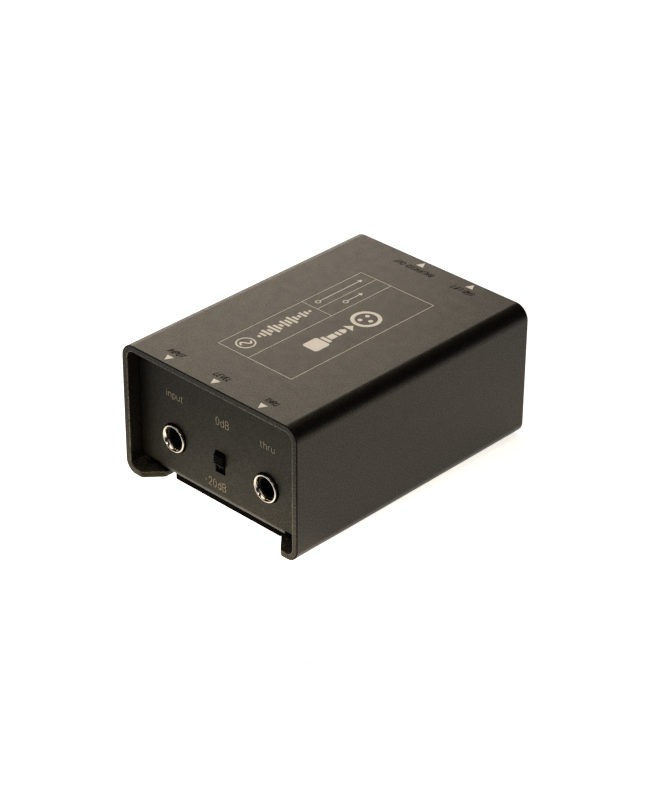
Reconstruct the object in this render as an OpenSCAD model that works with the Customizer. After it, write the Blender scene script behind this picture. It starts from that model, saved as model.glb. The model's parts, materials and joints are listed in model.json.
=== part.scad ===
// Direct injection box: a folded steel shell round a U-shaped chassis, with two 6.35 mm jacks and an
// attenuator switch at the front, and a three-pin output connector and a ground lift switch at the rear.
// Origin at the centre of the foot pad's underside, +Z up, jacks towards -Y, output towards +Y.

/* [Shell] */
// Outside width of the case
case_w = 80; // [80:1:90]
// Outside length of the case, front edge to rear edge
case_l = 110; // [110:1:130]
// Height of the shell above the underside of its lips
shell_h = 49.6; // [48:0.1:56]
// Thickness of the shell's coated sheet
shell_t = 2.3; // [2:0.1:2.5]
// Outside radius of the two top bends
top_bend_r = 5.3; // [4:0.1:7]
// Outside radius of the two bottom bends
low_bend_r = 4.6; // [3.6:0.1:6]
// Clear width between the two lips
lip_gap = 54.2; // [52:0.2:56]
// Width of the slanted cut at each end of a lip
lip_cut_w = 5.4; // [0.5:0.1:6]
// Length of the slanted cut at each end of a lip
lip_cut_l = 5.9; // [0.5:0.1:7]

/* [Chassis] */
// Depth of the front and rear panels behind the shell's edges
recess = 5.1; // [4.6:0.1:6]
// Thickness of the chassis sheet
chassis_t = 1.5; // [1.2:0.1:1.6]
// Outside radius of the chassis bends
chassis_bend_r = 4.1; // [3:0.1:4.2]
// Width of the two bends, between their relief notches
bend_w = 58.4; // [52:0.2:60]
// Gap all round between a panel's edge and the shell
panel_gap = 0.4; // [0.2:0.1:0.6]

/* [Foot pad] */
// Width of the rubber pad under the floor
pad_w = 49.5; // [40:0.5:50]
// Length of the rubber pad
pad_l = 94; // [80:0.2:94]
// How far the pad stands below the lips
pad_proud = 0.4; // [0.3:0.1:0.8]

/* [Jacks] */
// Distance between the two jacks' centres
jack_pitch = 42.6; // [40:0.2:44]
// Sideways offset of the row of front controls
row_offset = 0.3; // [0:0.1:0.5]
// Height of the jack centres above the board
jack_rise = 8; // [7.6:0.1:8.4]
// Radius of the clearance hole round a jack's nose
jack_hole_r = 5.45; // [5.2:0.05:5.8]
// Outside radius of the chrome nose
ferrule_r = 4.95; // [4.8:0.05:5]
// Inside radius of the chrome nose
ferrule_bore_r = 3.8; // [3.7:0.05:4]
// Radius of the bore that guides a 6.35 mm plug
plug_bore_r = 3.3; // [3.25:0.05:3.4]
// How far the nose stands out of the panel
ferrule_proud = 1.1; // [0.6:0.1:1.6]

/* [Slide switches] */
// Width of the slot in a panel
slot_w = 4.6; // [4.4:0.1:5]
// Height of the slot in a panel
slot_h = 8.4; // [8.2:0.1:8.8]
// Width of the knob
knob_w = 4.2; // [3.8:0.1:4.2]
// Height of the knob where it leaves the slot
knob_h = 5.6; // [5:0.1:5.6]
// Travel between the knob's two positions
knob_travel = 2.4; // [2:0.1:2.4]
// How far the knob stands out of the panel
knob_proud = 1.2; // [0.8:0.1:2]

/* [Output connector] */
// Sideways place of the output connector
output_x = -5.5; // [-7:0.1:-5]
// Height of its centre above the board
output_rise = 13.8; // [13.8:0.1:14.4]
// Radius of the cup that takes the cable connector
cup_r = 8.1; // [8:0.05:8.2]
// Depth of the cup
cup_depth = 15; // [13:0.5:15]
// Sideways place of the ground lift switch
lift_x = 17; // [16.5:0.1:20]

/* [Circuit board] */
// Thickness of the board
board_t = 1.6; // [1.2:0.1:1.6]
// Height of the standoffs under the board
standoff_h = 5; // [4.5:0.1:5.5]

/* [Hidden] */
$fn = 64;
// Overshoot of a cutting shape, so that no face is shared with what it cuts
over = 1;

// Levels, from the surface the box stands on
lip_z = pad_proud;
floor_z = lip_z + shell_t;
floor_top = floor_z + chassis_t;
roof_z = lip_z + shell_h - shell_t;
board_z = floor_top + standoff_h;
board_top = board_z + board_t;
jack_z = board_top + jack_rise;
// Pins end this far under the board
pin_tail = 1;

// Panels
panel_y = case_l / 2 - recess;
panel_back = panel_y - chassis_t;
panel_half = case_w / 2 - shell_t - panel_gap;
panel_low = lip_z + 5.7;
panel_top = roof_z - panel_gap;
floor_half = case_w / 2 - low_bend_r - 0.2;
floor_end = panel_y - chassis_bend_r - 0.2;
pad_corner_r = 0.8;
// Parts on the board stand this far behind a panel
behind = 0.3;
front_y = -(panel_back - behind);
rear_y = panel_back - behind;

// Fasteners, M3
thread_r = 1.5;
shank_r = 1.42;
case_screw_x = (lip_gap / 2 + case_w / 2 - low_bend_r) / 2;
case_screw_y = 36;
case_screw_l = 6;
sunk_head_r = 2.75;
sunk_head_h = 1.5;
clinch_r = 2.1;
standoff_x = 30.5;
standoff_ys = [-12, 22];

// Jack housing
housing_half = 7.9;
housing_l = 29;
housing_top = 7.4;
chamber_half = 6.6;
chamber_low = -6.5;
chamber_high = 6;
nose_l = 7.1;
end_wall = 1.5;
peg_r = 0.9;
peg_y = 22;
// The chrome nose stops at a wall of the housing, and the plug guide runs forward from that wall inside it
seat_l = nose_l - 1.2;
ferrule_front = -(behind + chassis_t + ferrule_proud);
mouth_l = 0.7;
mouth_r = 4.35;
guide_front = ferrule_front + 1.3;
guide_lead = 0.5;
guide_lead_r = 0.3;

// Leaf spring that touches the plug's tip
leaf_w = 3;
leaf_t = 0.35;
leaf_z = 3.95;
leaf_root = nose_l + 2;
leaf_l = 16.4;
leaf_bump = 1.3;
leaf_bump_at = 14.4;

// Slide switch, measured back from its front face
frame_half_w = 4;
frame_l = 6.5;
frame_t = 0.8;
frame_half_h = jack_rise - 0.1;
base_t = 2;
slider_w = 5.4;
slider_h = 10.6;
slider_y = 1.1;
slider_d = 2.3;
bridge_d = 0.7;
bridge_w = 1.4;
bridge_h = 3.4;
terminal_w = 0.8;
terminal_t = 0.4;
terminal_x = 1.5;
terminal_step = 2.4;
terminal_first = 1.4;
terminal_gap = 1.6;
switch_z = jack_z - 0.1;
// The knob's grip is shorter than its base, with a slope above and below it
grip_h = 3;
slope_start = 0.2;
grip_grooves = 3;
groove_step = 0.9;
groove_h = 0.35;
groove_d = 0.3;

// Output connector
output_z = board_top + output_rise;
output_half_w = 13;
output_l = 18;
nose_r = 10.4;
nose_proud = 0.4;
insert_r = 7.4;
insert_t = 5;
contact_r = 1.2;
contact_tail_r = 0.6;
contact_set_back = 1.6;
contact_places = [[-3.81, 2.85, 2], [3.81, 2.85, 2], [0, -4.76, 4]];
output_screw_places = [[-9.9, 11], [9.9, -11]];
output_screw_r = 1.4;

// Transformer
core_w = 30;
core_l = 25;
core_t = 8;
leg_w = 8;
window_w = 4.5;
window_l = 22;
transformer_y = 4;
bobbin_t = 0.7;
bobbin_half = 8.4;
transformer_z = board_top + bobbin_half;
transformer_pin_x = 9;
transformer_pin_step = 4;

// Small parts
resistor_r = 1.2;
resistor_l = 6.3;
lead_r = 0.3;
lead_pitch = 10.16;
pad_resistor_ys = [-31, -27.5, -24];
lift_part_x = 16;
lift_resistor_y = 22;
capacitor_y = 28;
capacitor_size = [10, 4, 7];
capacitor_pitch = 7.5;

// ---------- shared shapes ----------

// What a round of radius r takes off a corner at the origin
module corner_waste(r) {
    difference() {
        translate([-over, -over]) square(r + over);
        translate([r, r]) circle(r);
    }
}

// Upright outline standing on the origin, with its own radius at the top and at the bottom
module bent_outline(w, h, r_top, r_low) {
    difference() {
        translate([-w / 2, 0]) square([w, h]);
        for (side = [0, 1]) mirror([side, 0]) {
            translate([-w / 2, 0]) corner_waste(r_low);
            translate([-w / 2, h]) mirror([0, 1]) corner_waste(r_top);
        }
    }
}

// Cylinder whose axis runs along +Y from the origin
module along_y(r, l, r2 = -1) {
    rotate([-90, 0, 0]) cylinder(r1 = r, r2 = r2 < 0 ? r : r2, h = l);
}

// Block centred on X and Z, with its near face at the origin
module block_y(w, l, h) {
    translate([-w / 2, 0, -h / 2]) cube([w, l, h]);
}

// Children at the four corners of a rectangle
module at_corners(x, y) {
    for (sx = [-1, 1], sy = [-1, 1]) translate([sx * x, sy * y, 0]) children();
}

// Cross recess in a screw head, cut down from the origin
module cross_recess(reach, depth) {
    for (turn = [0, 90]) rotate(turn)
        translate([-reach, -0.3, -depth]) cube([2 * reach, 0.6, depth + over]);
}

// Pan head screw with its head standing on the origin and its shank going down
module pan_screw(shank, length, head_r, head_h) {
    difference() {
        union() {
            cylinder(r1 = head_r, r2 = head_r * 0.8, h = head_h);
            translate([0, 0, -length]) cylinder(r = shank, h = length + head_h / 2);
        }
        translate([0, 0, head_h]) cross_recess(head_r * 0.6, head_h * 0.6);
    }
}

// Axial part lying along X above the board, with its two leads bent down through it
module axial_part() {
    rise = resistor_r + 0.3;
    translate([-resistor_l / 2, 0, rise]) rotate([0, 90, 0]) cylinder(r = resistor_r, h = resistor_l);
    translate([-lead_pitch / 2, 0, rise]) rotate([0, 90, 0]) cylinder(r = lead_r, h = lead_pitch);
    for (side = [-1, 1]) translate([side * lead_pitch / 2, 0, 0]) {
        translate([0, 0, rise]) sphere(lead_r);
        translate([0, 0, -board_t - pin_tail]) cylinder(r = lead_r, h = rise + board_t + pin_tail);
    }
}

// ---------- case ----------

module outer_shell() {
    color([0.29, 0.27, 0.24])
    difference() {
        translate([0, case_l / 2, lip_z]) rotate([90, 0, 0]) linear_extrude(case_l)
            difference() {
                bent_outline(case_w, shell_h, top_bend_r, low_bend_r);
                translate([0, shell_t])
                    bent_outline(case_w - 2 * shell_t, shell_h - 2 * shell_t,
                                 top_bend_r - shell_t, low_bend_r - shell_t);
                translate([-lip_gap / 2, -over]) square([lip_gap, shell_t + 2 * over]);
            }
        for (sx = [0, 1], sy = [0, 1]) mirror([sx, 0, 0]) mirror([0, sy, 0]) lip_end_waste();
        at_corners(case_screw_x, case_screw_y) {
            translate([0, 0, lip_z - over]) cylinder(r = thread_r + 0.1, h = shell_t + 2 * over);
            translate([0, 0, lip_z]) cylinder(r1 = sunk_head_r + 0.1, r2 = thread_r + 0.1, h = sunk_head_h);
        }
    }
}

// What the slanted cut takes off the front end of the right lip
module lip_end_waste() {
    inner = lip_gap / 2;
    end = -case_l / 2;
    translate([0, 0, lip_z - over]) linear_extrude(shell_t + over + 0.1)
        polygon([[inner - over, end - over], [inner + lip_cut_w, end - over], [inner + lip_cut_w, end],
                 [inner, end + lip_cut_l], [inner - over, end + lip_cut_l]]);
}

module chassis() {
    color([0.23, 0.21, 0.18])
    difference() {
        union() {
            bent_strip();
            wide_panel();
            mirror([0, 1, 0]) wide_panel();
            translate([-floor_half, -floor_end, floor_z]) cube([2 * floor_half, 2 * floor_end, chassis_t]);
        }
        at_jacks() translate([0, -panel_y - over, 0]) along_y(jack_hole_r, chassis_t + 2 * over);
        translate([row_offset, -panel_y - over, switch_z]) block_y(slot_w, chassis_t + 2 * over, slot_h);
        translate([lift_x, panel_back - over, switch_z]) block_y(slot_w, chassis_t + 2 * over, slot_h);
        translate([output_x, panel_back - over, output_z]) {
            along_y(nose_r + 0.2, chassis_t + 2 * over);
            at_output_screws() along_y(output_screw_r + 0.2, chassis_t + 2 * over);
        }
        translate([0, 0, floor_z - over]) {
            at_corners(case_screw_x, case_screw_y) cylinder(r = clinch_r + 0.02, h = chassis_t + 2 * over);
            at_standoffs() cylinder(r = clinch_r + 0.02, h = chassis_t + 2 * over);
        }
    }
}

// Floor and both panels as one bent strip, as wide as the bends
module bent_strip() {
    height = panel_top - floor_z;
    translate([-bend_w / 2, 0, floor_z]) rotate([90, 0, 90]) linear_extrude(bend_w)
        difference() {
            bent_outline(2 * panel_y, height + chassis_bend_r, chassis_bend_r, chassis_bend_r);
            translate([0, chassis_t])
                bent_outline(2 * panel_back, height + chassis_bend_r,
                             chassis_bend_r - chassis_t, chassis_bend_r - chassis_t);
            translate([-panel_y - over, height]) square([2 * panel_y + 2 * over, 2 * chassis_bend_r]);
        }
}

// Front panel at its full width, above the relief notches
module wide_panel() {
    translate([0, -panel_back, panel_low]) rotate([90, 0, 0]) linear_extrude(chassis_t)
        bent_outline(2 * panel_half, panel_top - panel_low, top_bend_r - shell_t + 0.3, 0.5);
}

module bottom_pad() {
    color([0.08, 0.08, 0.08])
    translate([0, -pad_l / 2, 0]) linear_extrude(floor_z) bent_outline(pad_w, pad_l, pad_corner_r, pad_corner_r);
}

module case_screws() {
    color([0.2, 0.2, 0.2])
    at_corners(case_screw_x, case_screw_y) translate([0, 0, lip_z + 0.05]) difference() {
        union() {
            cylinder(r1 = sunk_head_r, r2 = shank_r, h = sunk_head_h);
            cylinder(r = shank_r, h = case_screw_l);
        }
        mirror([0, 0, 1]) cross_recess(1.5, 0.9);
    }
}

module clinch_nuts() {
    color([0.75, 0.75, 0.73])
    at_corners(case_screw_x, case_screw_y) difference() {
        union() {
            translate([0, 0, floor_z]) cylinder(r = clinch_r, h = chassis_t + 0.5);
            translate([0, 0, floor_top]) cylinder(r = clinch_r + 1, h = 1.5);
        }
        translate([0, 0, floor_z - over]) cylinder(r = thread_r, h = chassis_t + 1.5 + 2 * over);
    }
}

// ---------- circuit board and its supports ----------

module at_standoffs() {
    for (sx = [-1, 1], y = standoff_ys) translate([sx * standoff_x, y, 0]) children();
}

module board_standoffs() {
    color([0.78, 0.76, 0.7])
    at_standoffs() difference() {
        union() {
            translate([0, 0, floor_z]) cylinder(r = clinch_r, h = chassis_t + 0.5);
            translate([0, 0, floor_top]) cylinder(r = clinch_r + 0.7, h = standoff_h);
        }
        translate([0, 0, floor_z - over]) cylinder(r = thread_r, h = chassis_t + standoff_h + 2 * over);
    }
}

module board_screws() {
    color([0.75, 0.75, 0.73])
    at_standoffs() translate([0, 0, board_top]) pan_screw(shank_r, 6, 2.8, 2);
}

module circuit_board() {
    color([0.1, 0.32, 0.16])
    difference() {
        translate([-34, -panel_back + 0.8, board_z]) cube([68, 2 * panel_back - 1.6, board_t]);
        translate([0, 0, board_z - over]) linear_extrude(board_t + 2 * over) board_holes();
    }
}

// Every hole through the board, seen from above
module board_holes() {
    at_standoffs() circle(thread_r + 0.1);
    for (side = [-1, 1]) translate([row_offset + side * jack_pitch / 2, front_y]) {
        translate([0, nose_l + 0.3]) square([2, 1], center = true);
        translate([chamber_half - 0.4, leaf_root + 0.6]) square([0.9, 1.6], center = true);
        for (sx = [-1, 1]) translate([sx * 5, peg_y]) circle(peg_r + 0.1);
    }
    translate([row_offset, front_y]) switch_holes();
    translate([lift_x, rear_y]) rotate(180) switch_holes();
    translate([output_x, rear_y - output_l]) for (p = contact_places) translate([p[0], -p[2]])
        circle(contact_tail_r + 0.1);
    translate([0, transformer_y]) at_transformer_pins() circle(0.5);
    for (y = pad_resistor_ys) translate([row_offset, y]) lead_holes(lead_pitch);
    translate([lift_part_x, lift_resistor_y]) lead_holes(lead_pitch);
    translate([lift_part_x, capacitor_y]) lead_holes(capacitor_pitch);
}

module lead_holes(pitch) {
    for (side = [-1, 1]) translate([side * pitch / 2, 0]) circle(lead_r + 0.15);
}

module switch_holes() {
    for (sx = [-1, 1], row = [0, 1, 2]) translate([sx * terminal_x, terminal_reach(row)])
        square([terminal_w + 0.3, terminal_t + 0.3], center = true);
    for (sx = [-1, 1]) translate([sx * (frame_half_w - frame_t / 2), frame_l / 2])
        square([frame_t + 0.3, 2.3], center = true);
}

// ---------- jacks ----------
// A jack's own origin is on its axis, in the plane of its housing's front face, and +Y runs into the box.

module at_jacks() {
    for (side = [-1, 1]) translate([row_offset + side * jack_pitch / 2, 0, jack_z]) children();
}

module at_jack(side) {
    translate([row_offset + side * jack_pitch / 2, front_y, jack_z]) children();
}

module jack_housing() {
    color([0.09, 0.09, 0.09])
    difference() {
        union() {
            difference() {
                translate([-housing_half, 0, -jack_rise])
                    cube([2 * housing_half, housing_l, jack_rise + housing_top]);
                translate([0, -over, 0]) along_y(ferrule_r + 0.02, seat_l + over);
            }
            translate([0, guide_front, 0]) along_y(ferrule_bore_r - 0.02, seat_l + 0.5 - guide_front);
            for (sx = [-1, 1]) translate([sx * 5, peg_y, -jack_rise - board_t])
                cylinder(r = peg_r, h = board_t + over);
        }
        translate([-chamber_half, nose_l, chamber_low])
            cube([2 * chamber_half, housing_l - nose_l - end_wall, chamber_high - chamber_low]);
        translate([0, guide_front - over, 0]) along_y(plug_bore_r, nose_l + 2 * over - guide_front);
        translate([0, guide_front - guide_lead, 0])
            along_y(plug_bore_r + 2 * guide_lead_r, 2 * guide_lead, plug_bore_r);
        translate([0, housing_l - end_wall - over, 0]) along_y(plug_bore_r + 0.2, end_wall + 2 * over);
        translate([-0.9, nose_l - 0.1, -jack_rise - over]) cube([1.8, 0.8, jack_rise + chamber_low + 2 * over]);
        translate([chamber_half - 0.8, leaf_root - 0.1, -jack_rise - over])
            cube([0.8, 1.4, jack_rise + chamber_low + 2 * over]);
    }
}

module jack_ferrule() {
    length = seat_l - ferrule_front;
    color([0.85, 0.85, 0.86])
    translate([0, ferrule_front, 0]) rotate([-90, 0, 0]) rotate_extrude()
        polygon([[mouth_r, 0], [ferrule_r - 0.2, 0], [ferrule_r, 0.2], [ferrule_r, length],
                 [ferrule_bore_r, length], [ferrule_bore_r, mouth_l]]);
}

// Leaf along the top of the chamber, with a bump that dips into the plug's tip groove
module jack_tip_spring() {
    color([0.8, 0.66, 0.35])
    translate([-leaf_w / 2, leaf_root, leaf_z]) rotate([90, 0, 90]) linear_extrude(leaf_w)
        polygon([[0, 0], [leaf_bump_at - 2, 0], [leaf_bump_at, -leaf_bump], [leaf_l, 0.2],
                 [leaf_l, 0.2 + leaf_t], [leaf_bump_at, leaf_t - leaf_bump], [leaf_bump_at - 2, leaf_t],
                 [0, leaf_t]]);
}

// Sleeve plate behind the nose and the strip that feeds the leaf, each with a leg through the board
module jack_terminals() {
    tail = -jack_rise - board_t - pin_tail;
    color([0.82, 0.8, 0.72]) {
        difference() {
            union() {
                translate([0, nose_l, 0]) block_y(9.4, 0.6, 9.4);
                translate([-0.8, nose_l, tail]) cube([1.6, 0.6, -tail]);
            }
            translate([0, nose_l - over, 0]) along_y(plug_bore_r + 0.2, 3);
        }
        translate([chamber_half - 0.6, leaf_root, tail]) cube([leaf_t, 1.2, leaf_z + leaf_t - tail]);
        translate([leaf_w / 2 + 0.2, leaf_root, leaf_z])
            cube([chamber_half - 0.6 + leaf_t - leaf_w / 2 - 0.2, 1.2, leaf_t]);
    }
}

module input_jack_housing() at_jack(-1) jack_housing();
module input_jack_ferrule() at_jack(-1) jack_ferrule();
module input_jack_tip_spring() at_jack(-1) jack_tip_spring();
module input_jack_terminals() at_jack(-1) jack_terminals();
module thru_jack_housing() at_jack(1) jack_housing();
module thru_jack_ferrule() at_jack(1) jack_ferrule();
module thru_jack_tip_spring() at_jack(1) jack_tip_spring();
module thru_jack_terminals() at_jack(1) jack_terminals();

// ---------- slide switches ----------
// A switch's own origin is at the middle of its slot, in the plane of its frame's front face, and +Y runs
// into the box.

module at_pad_switch() {
    translate([row_offset, front_y, switch_z]) children();
}

module at_lift_switch() {
    translate([lift_x, rear_y, switch_z]) rotate(180) children();
}

// Depth at which a row of terminals turns down, the lowest row first
function terminal_reach(row) = frame_l + terminal_first + row * terminal_gap;

module switch_frame() {
    color([0.72, 0.72, 0.7])
    difference() {
        union() {
            block_y(2 * frame_half_w, frame_l, 2 * frame_half_h);
            for (sx = [-1, 1]) translate([sx * (frame_half_w - frame_t / 2) - frame_t / 2, frame_l / 2 - 1,
                                          -frame_half_h - board_t - pin_tail])
                cube([frame_t, 2, board_t + pin_tail + over]);
        }
        translate([0, frame_t, 0])
            block_y(2 * (frame_half_w - frame_t), frame_l, 2 * (frame_half_h - frame_t));
        translate([0, -over, 0]) block_y(slot_w, frame_t + 2 * over, slot_h + 0.2);
    }
}

module switch_base() {
    color([0.45, 0.3, 0.18])
    difference() {
        translate([0, frame_l - base_t, 0])
            block_y(2 * (frame_half_w - frame_t) - 0.1, base_t, 2 * (frame_half_h - frame_t) - 0.1);
        for (sx = [-1, 1], row = [-1, 0, 1])
            translate([sx * terminal_x, frame_l - base_t - over, row * terminal_step])
                block_y(terminal_w + 0.1, base_t + 2 * over, terminal_t + 0.1);
    }
}

// Knob and slider in one moulding, at the top of its travel, with grooves across the grip
module switch_knob() {
    grip_y = -(behind + chassis_t + knob_proud);
    slope_y = -(behind + chassis_t + slope_start);
    root_y = slider_y + 0.5;
    color([0.07, 0.07, 0.07])
    translate([0, 0, knob_travel / 2]) {
        translate([0, slider_y, 0]) block_y(slider_w, slider_d, slider_h);
        difference() {
            translate([-knob_w / 2, 0, 0]) rotate([90, 0, 90]) linear_extrude(knob_w)
                polygon([[root_y, knob_h / 2], [slope_y, knob_h / 2], [grip_y, grip_h / 2],
                         [grip_y, -grip_h / 2], [slope_y, -knob_h / 2], [root_y, -knob_h / 2]]);
            for (row = [1:grip_grooves])
                translate([0, grip_y - over, (row - (grip_grooves + 1) / 2) * groove_step])
                    block_y(knob_w + 2 * over, over + groove_d, groove_h);
        }
    }
}

// Two sprung bridges on the slider's back, each joining two terminals of its column
module switch_bridges() {
    color([0.8, 0.66, 0.35])
    for (sx = [-1, 1]) translate([sx * terminal_x, slider_y + slider_d, knob_travel / 2])
        block_y(bridge_w, bridge_d, bridge_h);
}

module switch_terminals() {
    start = frame_l - base_t - 0.25;
    drop = frame_half_h + board_t + pin_tail;
    color([0.82, 0.8, 0.72])
    for (sx = [-1, 1], row = [0, 1, 2]) {
        z = (row - 1) * terminal_step;
        translate([sx * terminal_x - terminal_w / 2, start, z - terminal_t / 2])
            cube([terminal_w, terminal_reach(row) + terminal_t / 2 - start, terminal_t]);
        translate([sx * terminal_x - terminal_w / 2, terminal_reach(row) - terminal_t / 2, -drop])
            cube([terminal_w, terminal_t, drop + z]);
    }
}

module pad_switch_frame() at_pad_switch() switch_frame();
module pad_switch_base() at_pad_switch() switch_base();
module pad_switch_knob() at_pad_switch() switch_knob();
module pad_switch_bridges() at_pad_switch() switch_bridges();
module pad_switch_terminals() at_pad_switch() switch_terminals();
module lift_switch_frame() at_lift_switch() switch_frame();
module lift_switch_base() at_lift_switch() switch_base();
module lift_switch_knob() at_lift_switch() switch_knob();
module lift_switch_bridges() at_lift_switch() switch_bridges();
module lift_switch_terminals() at_lift_switch() switch_terminals();

// ---------- output connector ----------
// Its own origin is on its axis, in the plane of its housing's rear-facing front, and -Y runs into the box.

module at_output() {
    translate([output_x, rear_y, output_z]) children();
}

module at_output_screws() {
    for (p = output_screw_places) translate([p[0], 0, p[1]]) children();
}

cup_mouth = behind + chassis_t + nose_proud;

module output_housing() {
    color([0.1, 0.1, 0.1])
    at_output() difference() {
        union() {
            translate([0, -output_l, 0]) block_y(2 * output_half_w, output_l, 2 * output_rise);
            along_y(nose_r, cup_mouth);
        }
        translate([0, cup_mouth - cup_depth, 0]) along_y(cup_r, cup_depth + over);
        translate([0, -output_l - over, 0]) along_y(insert_r, output_l);
        translate([-2.4, cup_mouth - 8.5, 0]) cube([4.8, 3.5, cup_r + 1.4]);
        at_output_screws() translate([0, -10, 0]) along_y(output_screw_r + 0.02, 10 + over);
    }
}

module output_insert() {
    color([0.12, 0.12, 0.12])
    at_output() difference() {
        translate([0, -output_l, 0]) along_y(insert_r - 0.02, insert_t - 0.4);
        for (p = contact_places) translate([p[0], -output_l - over, p[1]])
            along_y(contact_r + 0.02, insert_t + 2 * over);
    }
}

module output_pins() {
    tip = cup_mouth - contact_set_back - contact_r;
    drop = output_rise + board_t + pin_tail;
    color([0.85, 0.83, 0.78])
    at_output() for (p = contact_places) translate([p[0], 0, p[1]]) {
        translate([0, tip, 0]) sphere(contact_r);
        translate([0, -output_l, 0]) along_y(contact_r, output_l + tip);
        translate([0, -output_l - p[2], 0]) along_y(contact_tail_r, p[2] + 1);
        translate([0, -output_l - p[2], 0]) sphere(contact_tail_r);
        translate([0, -output_l - p[2], -drop - p[1]]) cylinder(r = contact_tail_r, h = drop + p[1]);
    }
}

module output_screws() {
    color([0.2, 0.2, 0.2])
    at_output() at_output_screws() translate([0, behind + chassis_t, 0]) rotate([-90, 0, 0])
        pan_screw(output_screw_r, 9, 2.6, 1.8);
}

// ---------- transformer and small parts ----------

module at_transformer() {
    translate([0, transformer_y, transformer_z]) children();
}

module at_transformer_pins() {
    for (sx = [-1, 1], k = [-1, 0, 1]) translate([sx * transformer_pin_x, k * transformer_pin_step]) children();
}

module transformer_core() {
    color([0.5, 0.5, 0.52])
    at_transformer() translate([0, 0, -core_t / 2]) linear_extrude(core_t) difference() {
        square([core_w, core_l], center = true);
        for (side = [-1, 1]) translate([0, side * (leg_w + window_w) / 2])
            square([window_l, window_w], center = true);
    }
}

module transformer_bobbin() {
    tube = leg_w / 2 + 0.1;
    color([0.85, 0.82, 0.75])
    at_transformer() difference() {
        union() {
            for (sx = [-1, 1]) translate([sx * (window_l / 2 - 0.1 - bobbin_t / 2), 0, 0])
                cube([bobbin_t, 2 * bobbin_half, 2 * bobbin_half], center = true);
            cube([window_l - 0.4, 2 * (tube + bobbin_t), 2 * (tube + bobbin_t)], center = true);
            for (sx = [-1, 1]) translate([sx * (window_l / 2 - 2), 0, -bobbin_half + 0.6])
                cube([3.8, 2 * bobbin_half, 1.2], center = true);
        }
        cube([core_w, 2 * tube, 2 * tube], center = true);
        translate([0, 0, -bobbin_half - over]) linear_extrude(3) at_transformer_pins() circle(0.42);
    }
}

module transformer_winding() {
    inner = leg_w / 2 + 0.15 + bobbin_t;
    color([0.72, 0.38, 0.16])
    at_transformer() difference() {
        cube([window_l - 8.4, 2 * bobbin_half - 0.6, 2 * bobbin_half - 0.6], center = true);
        cube([core_w, 2 * inner, 2 * inner], center = true);
    }
}

module transformer_pins() {
    color([0.82, 0.8, 0.72])
    translate([0, transformer_y, board_z - pin_tail]) at_transformer_pins()
        cylinder(r = 0.4, h = board_t + pin_tail + 1.1);
}

module pad_resistors() {
    color([0.55, 0.68, 0.72])
    for (y = pad_resistor_ys) translate([row_offset, y, board_top]) axial_part();
}

module lift_resistor() {
    color([0.55, 0.68, 0.72])
    translate([lift_part_x, lift_resistor_y, board_top]) axial_part();
}

module lift_capacitor() {
    color([0.7, 0.16, 0.12])
    translate([lift_part_x, capacitor_y, board_top]) {
        translate([-capacitor_size[0] / 2, -capacitor_size[1] / 2, 0.2]) cube(capacitor_size);
        for (side = [-1, 1]) translate([side * capacitor_pitch / 2, 0, -board_t - pin_tail])
            cylinder(r = lead_r, h = board_t + pin_tail + over);
    }
}

outer_shell();
chassis();
bottom_pad();
case_screws();
clinch_nuts();
board_standoffs();
circuit_board();
board_screws();
input_jack_housing();
input_jack_ferrule();
input_jack_tip_spring();
input_jack_terminals();
thru_jack_housing();
thru_jack_ferrule();
thru_jack_tip_spring();
thru_jack_terminals();
pad_switch_frame();
pad_switch_base();
pad_switch_knob();
pad_switch_bridges();
pad_switch_terminals();
lift_switch_frame();
lift_switch_base();
lift_switch_knob();
lift_switch_bridges();
lift_switch_terminals();
output_housing();
output_insert();
output_pins();
output_screws();
transformer_core();
transformer_bobbin();
transformer_winding();
transformer_pins();
pad_resistors();
lift_capacitor();
lift_resistor();
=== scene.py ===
"""Looks of the direct injection box: coated sheet metal, chrome jack noses, print, and the parts inside."""
import json
import math

import bmesh
import bpy
from mathutils import Matrix, Vector

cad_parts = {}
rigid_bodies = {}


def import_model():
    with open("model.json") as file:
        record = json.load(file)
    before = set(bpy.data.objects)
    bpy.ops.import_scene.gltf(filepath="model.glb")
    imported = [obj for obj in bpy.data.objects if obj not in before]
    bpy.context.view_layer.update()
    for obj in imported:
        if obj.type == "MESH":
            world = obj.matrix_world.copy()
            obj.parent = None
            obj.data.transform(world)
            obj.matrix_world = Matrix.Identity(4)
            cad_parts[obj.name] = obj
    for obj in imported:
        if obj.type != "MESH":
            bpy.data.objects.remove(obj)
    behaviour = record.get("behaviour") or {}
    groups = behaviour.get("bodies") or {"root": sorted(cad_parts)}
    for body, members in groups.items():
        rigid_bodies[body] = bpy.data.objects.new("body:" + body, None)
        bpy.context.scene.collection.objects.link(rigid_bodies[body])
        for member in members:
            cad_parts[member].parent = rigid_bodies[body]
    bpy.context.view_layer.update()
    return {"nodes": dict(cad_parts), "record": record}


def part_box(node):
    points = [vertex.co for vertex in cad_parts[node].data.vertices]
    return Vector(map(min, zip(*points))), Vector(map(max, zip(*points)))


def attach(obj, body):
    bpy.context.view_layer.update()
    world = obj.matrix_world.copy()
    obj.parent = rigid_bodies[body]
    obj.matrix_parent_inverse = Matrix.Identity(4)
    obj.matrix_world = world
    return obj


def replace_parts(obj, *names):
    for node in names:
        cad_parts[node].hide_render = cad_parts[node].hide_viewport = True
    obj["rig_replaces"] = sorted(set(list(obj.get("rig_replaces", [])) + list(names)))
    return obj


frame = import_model()

# ---------- sizes, in millimetres unless a name says otherwise ----------

MM = 0.001
RECORD = frame["record"]
BODY_OF = {node: body for body, nodes in RECORD["behaviour"]["bodies"].items() for node in nodes}
SLOT_OF = {part["node"]: part["material_slot"] for part in RECORD["subparts"]}


def box_mm(node):
    """Lowest and highest corner of a CAD node, in millimetres."""
    low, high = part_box(node)
    return low / MM, high / MM


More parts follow.
